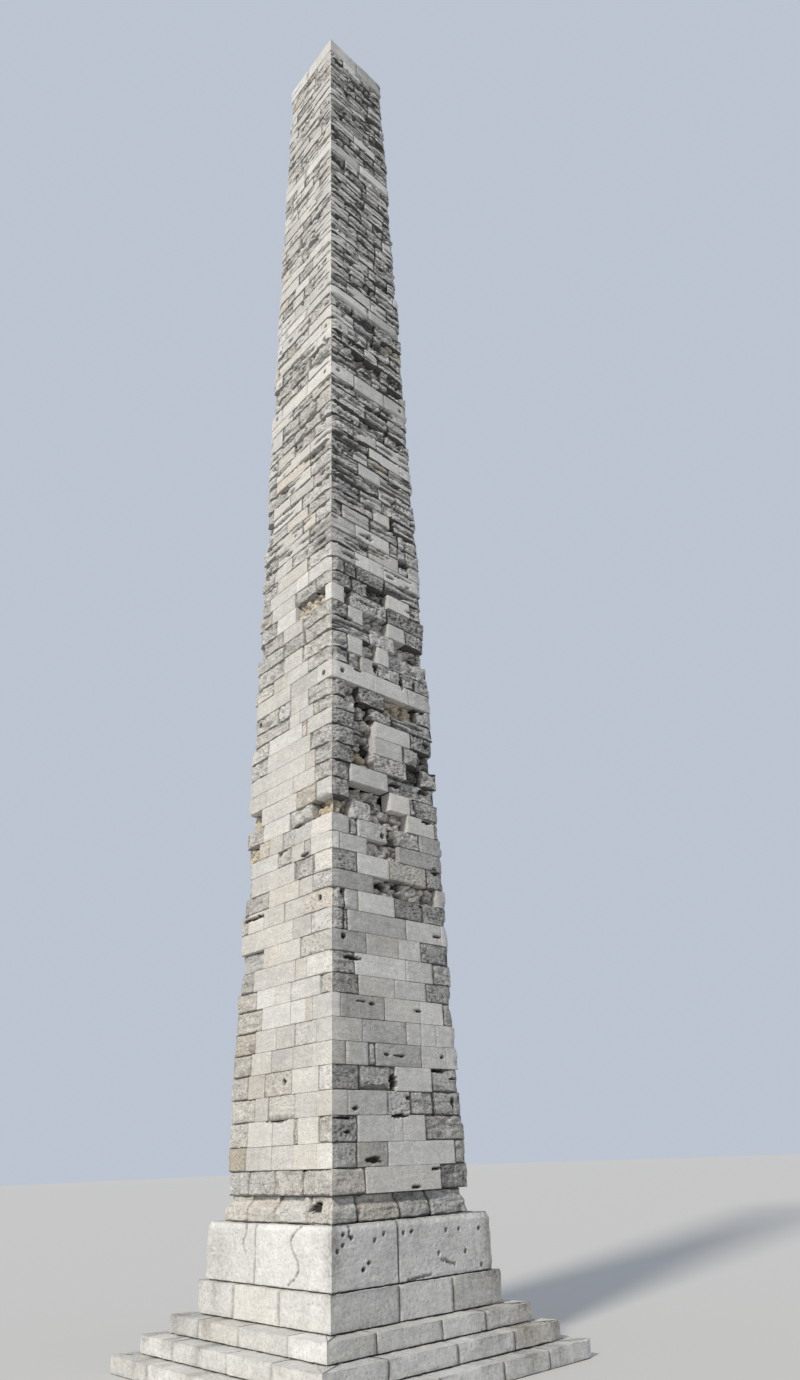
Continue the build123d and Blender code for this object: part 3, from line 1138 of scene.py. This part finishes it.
def build_shaft():
    """Every course of the shaft."""
    chance = np.random.default_rng(5)
    for number, (low, high, node) in enumerate(course_levels()):
        mesh = high_mesh if number >= high_from_course else low_mesh
        wear = heavy_wear if number in heavily_worn_courses else shaft_wear
        ring = Ring(shaft_middle, shaft_half, low, high, mesh, wear)
        ring.height_wear = 0.0 if node in pale_courses else float(ramp(number, *worn_courses))
        ring.rugged = 1 + 0.6 * float(ramp(number, *rugged_courses))
        ring.profile = undercut if number == 0 else upright
        for face in faces:
            drawn = drawn_marks(ring, slots_on(face, number, node), chance)
            ring.marks[face] = drawn + near_ring(written_marks(face), ring)
        rows = {face: row_of(face, number, node, ring.width(), chance) for face in faces}
        lay_course(ring, rows, always(node), number)


def build_pyramidion():
    """The low pyramid, in courses of its own."""
    low, high = span_of("pyramidion")
    foot_half = half_width("pyramidion")
    chance = np.random.default_rng(9)

    def half(height):
        """Half the pyramid's width at a height."""
        return foot_half - (foot_half - tip_half) * (height - low) / (high - low)

    bounds = np.linspace(low, high - cap_height, pyramid_courses + 1)
    for number, (bottom, top) in enumerate(zip(bounds, bounds[1:]), pyramid_number):
        ring = Ring(shaft_middle, half, bottom, top, high_mesh, pyramid_wear)
        width = ring.width()
        rows = {face: drawn_row(face, number, "top_course", width, chance) for face in faces}
        lay_course(ring, rows, always("pyramidion"), number)
    add_cap(Ring(shaft_middle, half, high - cap_height, high, high_mesh, pyramid_wear))


def wrap(name, ring, places, looks, finish):
    """Lays the same sheet on all four faces."""
    for face in faces:
        points = ring.place(face, *places)
        pieces[name].add_grid(points, looks, finish, face in turned_faces)


def add_cap(ring):
    """The single stone that closes the point, flat on top."""
    top_share = 0.25
    across, share = np.meshgrid(np.linspace(0, 1, 16), np.linspace(0, 1 + top_share, 16))
    inward = 0.98 * np.maximum(share - 1, 0) / top_share
    height = ring.bottom + (ring.top - ring.bottom) * np.minimum(share, 1) - 0.012 * inward ** 2
    along = ring.width() * (0.5 * inward + (1 - inward) * across)
    looks = looks_of(along, kinds["W"].tone, kinds["W"].warm, kinds["W"].crust, 0.0)
    wrap("pyramidion", ring, (along, inward * tip_half, height), looks, "repair")


def base_row(width, chance):
    """Marble blocks of one step on one face."""
    count = round(width / block_length)
    places = np.linspace(0, width, count + 1)
    places[1:-1] += chance.uniform(-block_stray, block_stray, count - 1)
    return [Block(start, end, "C") for start, end in zip(places, places[1:])]


def build_base():
    """The steps and the footing course."""
    chance = np.random.default_rng(3)
    steps = ("lower_step", "middle_step", "upper_step", "footing_course")
    for number, node in enumerate(steps, step_number):
        ring = Ring((0, 0), always(half_width(node)), *span_of(node), step_mesh, base_wear)
        ring.ledge = ledge_depth
        rows = {face: base_row(ring.width(), chance) for face in faces}
        lay_course(ring, rows, always(node), number)


def close_underside():
    """The rough bed inside the ring of the lowest step's blocks."""
    inside = half_width("lower_step") - ledge_depth
    places = np.linspace(-inside, inside, 24)
    x, y = np.meshgrid(places, places)
    points = np.stack([x, y, np.full_like(x, span_of("lower_step")[0])], axis=-1)
    looks = looks_of(x, kinds["C"].tone, 0.0, kinds["C"].crust, 0.0)
    pieces["lower_step"].add_grid(points, looks, "marble", True)


def pedestal_block(face, block):
    """The piece of one of the two pedestal blocks on a face."""
    end, side = ("front", "left") if block.start == 0 else ("back", "right")
    end = face if face in ("front", "back") else end
    side = face if face in ("left", "right") else side
    return f"pedestal_{end}_{side}_block"


def build_pedestal():
    """The pedestal's four blocks."""
    low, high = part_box("pedestal_front_left_block")
    half, top = -low[0], high[2]
    ring = Ring((0, 0), always(half), low[2], top, pedestal_mesh, base_wear)
    ring.profile = lip
    ring.ledge = pedestal_ledge_depth
    ring.marks["front"] = [
        Mark(along / 100, top - below / 100, socket_radius, socket_radius, socket_depth, True)
        for along, below in pedestal_sockets
    ]
    for face, cracks in pedestal_cracks.items():
        for crack in cracks:
            ring.marks.setdefault(face, []).extend(crack_marks(crack, top))
    rows = {}
    for face in faces:
        seam = half + high[0 if face in ("front", "back") else 1]
        rows[face] = [Block(0.0, seam, "C"), Block(seam, 2 * half, "C")]
    lay_course(ring, rows, pedestal_block, pedestal_number)


def build_core():
    """The rubble core behind the face stones, which shows only in the joints, coloured near black as
    painted shade.
    """
    ring = Ring(shaft_middle, shaft_half, shaft_bottom, shaft_top, high_mesh, shaft_wear)
    places = np.linspace(core_inset, ring.width() - core_inset, 12)
    levels = np.linspace(shaft_bottom + core_end_gap, shaft_top - core_end_gap, 60)
    along, height = np.meshgrid(places, levels)
    # painted shade: the core is coloured near black for the shade deep in the joints
    looks = looks_of(along, 0.2, 0.0, 0.9, 0.97)
    wrap("core", ring, (along, along * 0 + core_inset, height), looks, "rubble")


class Nodes:
    """A short way to add and join the nodes of one material."""

    def __init__(self, name):
        self.material = bpy.data.materials.new(name)
        self.material.use_nodes = True
        self.tree = self.material.node_tree
        self.tree.nodes.clear()

    def add(self, kind, settings=None, **links):
        """A node with its settings, linked by the names of its sockets."""
        node = self.tree.nodes.new(kind)
        for name, value in (settings or {}).items():
            if name in node.inputs:
                node.inputs[name].default_value = value
            else:
                setattr(node, name, value)
        for name, source in links.items():
            self.tree.links.new(source, node.inputs[name.replace("_", " ")])
        return node

    def join(self, value, socket):
        """Sets a socket to a number or a colour, or links it to another node's."""
        if isinstance(value, tuple):
            socket.default_value = (*value, 1)
        elif isinstance(value, float):
            socket.default_value = value
        else:
            self.tree.links.new(value, socket)

    def reckon(self, operation, *values):
        """What one arithmetic node makes of its values."""
        node = self.add("ShaderNodeMath", {"operation": operation})
        for value, socket in zip(values, node.inputs):
            self.join(value, socket)
        return node.outputs[0]

    def times(self, a, b):
        """The product of two values."""
        return self.reckon("MULTIPLY", a, b)

    def plus(self, a, b, share):
        """One value and a share of another."""
        return self.reckon("MULTIPLY_ADD", b, share, a)

    def spread(self, value, low, high, to_low=0.0, to_high=1.0):
        """A value moved from one range to another."""
        settings = {"From Min": low, "From Max": high, "To Min": to_low, "To Max": to_high}
        return self.add("ShaderNodeMapRange", settings, Value=value).outputs["Result"]

    def mixed(self, factor, a, b, kind="MIX"):
        """Two colours, mixed."""
        node = self.add("ShaderNodeMix", {"data_type": "RGBA", "blend_type": kind})
        for value, socket in ((factor, 0), (a, 6), (b, 7)):
            self.join(value, node.inputs[socket])
        return node.outputs[2]

    def finish_with(self, settings, **links):
        """The finished material, with its one shader."""
        shader = self.add("ShaderNodeBsdfPrincipled", settings, **links)
        self.add("ShaderNodeOutputMaterial", Surface=shader.outputs["BSDF"])
        return self.material


# The four finishes of stone: the colours of tone 0 and tone 1, the scale of the grain and
# how far it speckles the tone, the scale of the pits and how dark they and the seams are,
# the strength of the relief, how coarse it is beside the grain, and the roughness
Finish = namedtuple("Finish", "dark light grain speckle pits pitted lined bump coarse roughness")
finishes = {
    "repair": Finish((0.18, 0.178, 0.172), (0.84, 0.82, 0.78),
                     40.0, 0.20, 26.0, 0.9, 0.16, 0.55, 0.8, 0.86),
    "weathered": Finish((0.09, 0.09, 0.088), (0.86, 0.84, 0.80),
                        26.0, 0.30, 22.0, 0.95, 0.6, 1.0, 2.0, 0.92),
    "rubble": Finish((0.10, 0.094, 0.085), (0.78, 0.74, 0.67),
                     26.0, 0.26, 16.0, 0.95, 0.2, 1.0, 2.0, 0.95),
    "marble": Finish((0.22, 0.216, 0.206), (0.86, 0.85, 0.82),
                     24.0, 0.19, 14.0, 0.45, 0.15, 0.5, 0.8, 0.72),
}
cool_tint = (1.0, 0.96, 0.90)
warm_tint = (1.0, 0.87, 0.68)
dark_crust = (0.030, 0.031, 0.034)
light_crust = (0.16, 0.16, 0.165)
pit_colour = (0.045, 0.042, 0.038)
seam_colour = (0.050, 0.048, 0.045)
dirt_and_shade_colour = (0.028, 0.026, 0.024)


class StoneNodes(Nodes):
    """Cut stone that is coloured by each stone's own tone, warmth and crust, and by its dirt and
    painted shade.
    """

    def __init__(self, name, finish):
        super().__init__(name)
        self.finish = finish
        self.place = self.add("ShaderNodeTexCoord").outputs["Object"]
        look = self.add("ShaderNodeAttribute", {"attribute_name": "look"})
        parts = self.add("ShaderNodeSeparateColor", Color=look.outputs["Color"])
        self.tone, self.warm, self.crust = parts.outputs
        self.grime = look.outputs["Alpha"]
        self.broad = self.wave(1.3, 3.0)
        self.mottle = self.wave(9.0, 6.0, 0.65)
        self.fine = self.wave(finish.grain, 8.0, 0.75)
        self.streak = self.wave(5.0, 4.0, 0.6, (1.6, 1.6, 0.22))
        self.beds = self.wave(7.0, 5.0, 0.6, (0.35, 0.35, 5.0))

    def wave(self, scale, detail, roughness=0.6, stretch=(1, 1, 1)):
        """Noise over the stone, finer along the axes with the larger stretch."""
        spot = self.add("ShaderNodeMapping", {"Scale": stretch}, Vector=self.place).outputs[0]
        settings = {"Scale": scale, "Detail": detail, "Roughness": roughness}
        return self.add("ShaderNodeTexNoise", settings, Vector=spot).outputs["Fac"]

    def toned(self):
        """The stone's tone, mottled at four sizes, and its warmth."""
        level = self.tone
        speckle = self.finish.speckle
        mottles = ((self.broad, 0.07), (self.mottle, 0.12), (self.fine, speckle), (self.beds, 0.06))
        for wave, share in mottles:
            level = self.plus(level, self.spread(wave, 0.3, 0.7, -1, 1), share)
        colour = self.mixed(level, self.finish.dark, self.finish.light)
        warmed = self.times(self.warm, self.spread(self.mottle, 0.2, 0.7, 0.45, 1.0))
        return self.mixed(warmed, colour, self.mixed(self.warm, cool_tint, warm_tint), "MULTIPLY")

    def crusted(self, colour):
        """The colour with dark crust in blotches and runs."""
        self.blotch = self.wave(17.0, 5.0, 0.7)
        patchy = self.spread(self.plus(self.blotch, self.streak, 0.5), 0.60, 0.95, 0.25, 0.9)
        patches = self.times(self.crust, patchy)
        return self.mixed(patches, colour, self.mixed(self.fine, dark_crust, light_crust))

    def pitted(self, colour):
        """The colour with small dark pits in patches."""
        settings = {"Scale": self.finish.pits, "Randomness": 1.0}
        cells = self.add("ShaderNodeTexVoronoi", settings, Vector=self.place)
        pit = self.spread(cells.outputs["Distance"], 0.10, 0.34, 1.0, 0.0)
        self.pits = self.times(pit, self.spread(self.mottle, 0.42, 0.54))
        dark = self.spread(self.crust, 0, 1, 0.5 * self.finish.pitted, self.finish.pitted)
        return self.mixed(self.times(self.pits, dark), colour, pit_colour)

    def seamed(self, colour):
        """The colour with thin dark seams along the stone's beds."""
        seam = self.wave(4.0, 5.0, 0.62, (0.45, 0.45, 3.2))
        seam = self.spread(seam, 0.56, 0.64, 0.0, self.finish.lined)
        seam = self.times(seam, self.spread(self.broad, 0.35, 0.55, 0.4, 1.0))
        self.seams = self.times(seam, self.spread(self.crust, 0.0, 0.3, 0.35, 1.0))
        return self.mixed(self.seams, colour, seam_colour)

    def relief(self):
        """The small relief of the surface."""
        coarse = self.finish.coarse
        relief = self.plus(self.fine, self.mottle, coarse)
        relief = self.plus(relief, self.blotch, 0.9 * coarse)
        relief = self.plus(relief, self.pits, -0.6)
        relief = self.plus(relief, self.seams, -0.8)
        settings = {"Strength": self.finish.bump, "Distance": 0.02}
        return self.add("ShaderNodeBump", settings, Height=relief).outputs["Normal"]

    def stone(self):
        """The whole material."""
        colour = self.seamed(self.pitted(self.crusted(self.toned())))
        # dirt and painted shade: darker in pits, beds, joints, robbed places and holes, where shade
        # falls
        colour = self.mixed(self.grime, colour, dirt_and_shade_colour)
        normal = self.relief()
        middle = self.finish.roughness
        roughness = self.spread(self.fine, 0.2, 0.8, middle - 0.06, middle + 0.06)
        settings = {"Specular IOR Level": 0.25}
        return self.finish_with(settings, Base_Color=colour, Roughness=roughness, Normal=normal)


def placed(name, data):
    """A new object in the scene."""
    built = bpy.data.objects.new(name, data)
    bpy.context.scene.collection.objects.link(built)
    return built


def finished(name, piece, materials):
    """Makes the mesh of one piece."""
    mesh = bpy.data.meshes.new(name)
    points = np.concatenate(piece.points).astype(np.float32)
    quads = np.concatenate(piece.quads).astype(np.int32)
    mesh.vertices.add(len(points))
    mesh.vertices.foreach_set("co", points.ravel())
    mesh.loops.add(quads.size)
    mesh.loops.foreach_set("vertex_index", quads.ravel())
    mesh.polygons.add(len(quads))
    mesh.polygons.foreach_set("loop_start", np.arange(0, quads.size, 4, dtype=np.int32))
    used, slots = np.unique(np.concatenate(piece.finishes), return_inverse=True)
    for number in used:
        mesh.materials.append(materials[number])
    mesh.polygons.foreach_set("material_index", slots.astype(np.int32))
    looks = mesh.attributes.new("look", "FLOAT_COLOR", "POINT")
    looks.data.foreach_set("color", np.concatenate(piece.looks).astype(np.float32).ravel())
    mesh.polygons.foreach_set("use_smooth", np.ones(len(quads), bool))
    mesh.update(calc_edges=True)
    mesh.validate()
    return placed(name + "_stones", mesh)


# The studio: the pale surround, the warm key light, where it comes from and how soft its
# shadows are, and the two colours and half the width of the floor
surround_colour = (0.66, 0.73, 0.84, 1)
surround_strength = 0.76
key_colour = (1.0, 0.94, 0.84)
key_strength = 2.85
key_from = (-0.90, -0.25, 0.72)
key_softness = math.radians(8)
floor_colours = ((0.50, 0.49, 0.47), (0.56, 0.55, 0.53))
floor_half = 260


def build_light():
    """Plain soft studio light: a broad warm key from the left and a pale surround."""
    scene = bpy.context.scene
    scene.world = bpy.data.worlds.new("studio")
    scene.world.use_nodes = True
    surround = scene.world.node_tree.nodes["Background"]
    surround.inputs["Color"].default_value = surround_colour
    surround.inputs["Strength"].default_value = surround_strength
    scene.view_settings.view_transform = "Standard"
    key = bpy.data.lights.new("key_light", "SUN")
    key.energy = key_strength
    key.color = key_colour
    key.angle = key_softness
    lamp = placed("key_light", key)
    lamp.rotation_euler = Vector(key_from).to_track_quat("Z", "Y").to_euler()


def build_floor():
    """A plain pale floor."""
    mesh = bpy.data.meshes.new("floor")
    signs = ((-1, -1), (1, -1), (1, 1), (-1, 1))
    corners = [(x * floor_half, y * floor_half, 0) for x, y in signs]
    mesh.from_pydata(corners, [], [(0, 1, 2, 3)])
    nodes = Nodes("floor_paint")
    soft = nodes.add("ShaderNodeTexNoise", {"Scale": 0.6, "Detail": 3.0}).outputs["Fac"]
    tint = nodes.mixed(soft, *floor_colours)
    mesh.materials.append(nodes.finish_with({"Roughness": 0.9}, Base_Color=tint))
    placed("floor", mesh)


# The photograph's viewpoint
image_width = 800
image_height = 1380
lens_in_pixels = 890.144
image_centre_x = 404.113
image_centre_y = 774.497
camera_place = (-9.877, -12.155, 2.792)
camera_yaw = math.radians(43.31166)
camera_pitch = math.radians(23.34629)
camera_roll = math.radians(-2.254)
sensor = 36


def build_camera():
    """A camera at the photograph's viewpoint, with its framing."""
    camera = bpy.data.cameras.new("camera")
    camera.sensor_width = sensor
    camera.lens = lens_in_pixels * sensor / image_height
    camera.shift_x = (image_width / 2 - image_centre_x) / image_height
    camera.shift_y = (image_centre_y - image_height / 2) / image_height
    camera.clip_end = 1000
    stand = Matrix.Translation(camera_place)
    turns = ((-camera_yaw, "Z"), (math.radians(90) + camera_pitch, "X"), (camera_roll, "Z"))
    for angle, axis in turns:
        stand = stand @ Matrix.Rotation(angle, 4, axis)
    holder = placed("camera", camera)
    holder.matrix_world = stand
    bpy.context.scene.camera = holder


build_camera()
build_light()
build_floor()
build_base()
close_underside()
build_pedestal()
build_shaft()
build_pyramidion()
build_core()
materials = [StoneNodes(name + "_stone", finish).stone() for name, finish in finishes.items()]
slots = {row["node"]: row["material_slot"] for row in frame["record"]["subparts"]}
triangles = []
for name, piece in pieces.items():
    built = finished(name, piece, materials)
    triangles.append(2 * len(built.data.polygons))
    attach(built, "root")
    if name in slots:
        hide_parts(name)
print("triangles", sum(triangles), "in the largest piece", max(triangles))
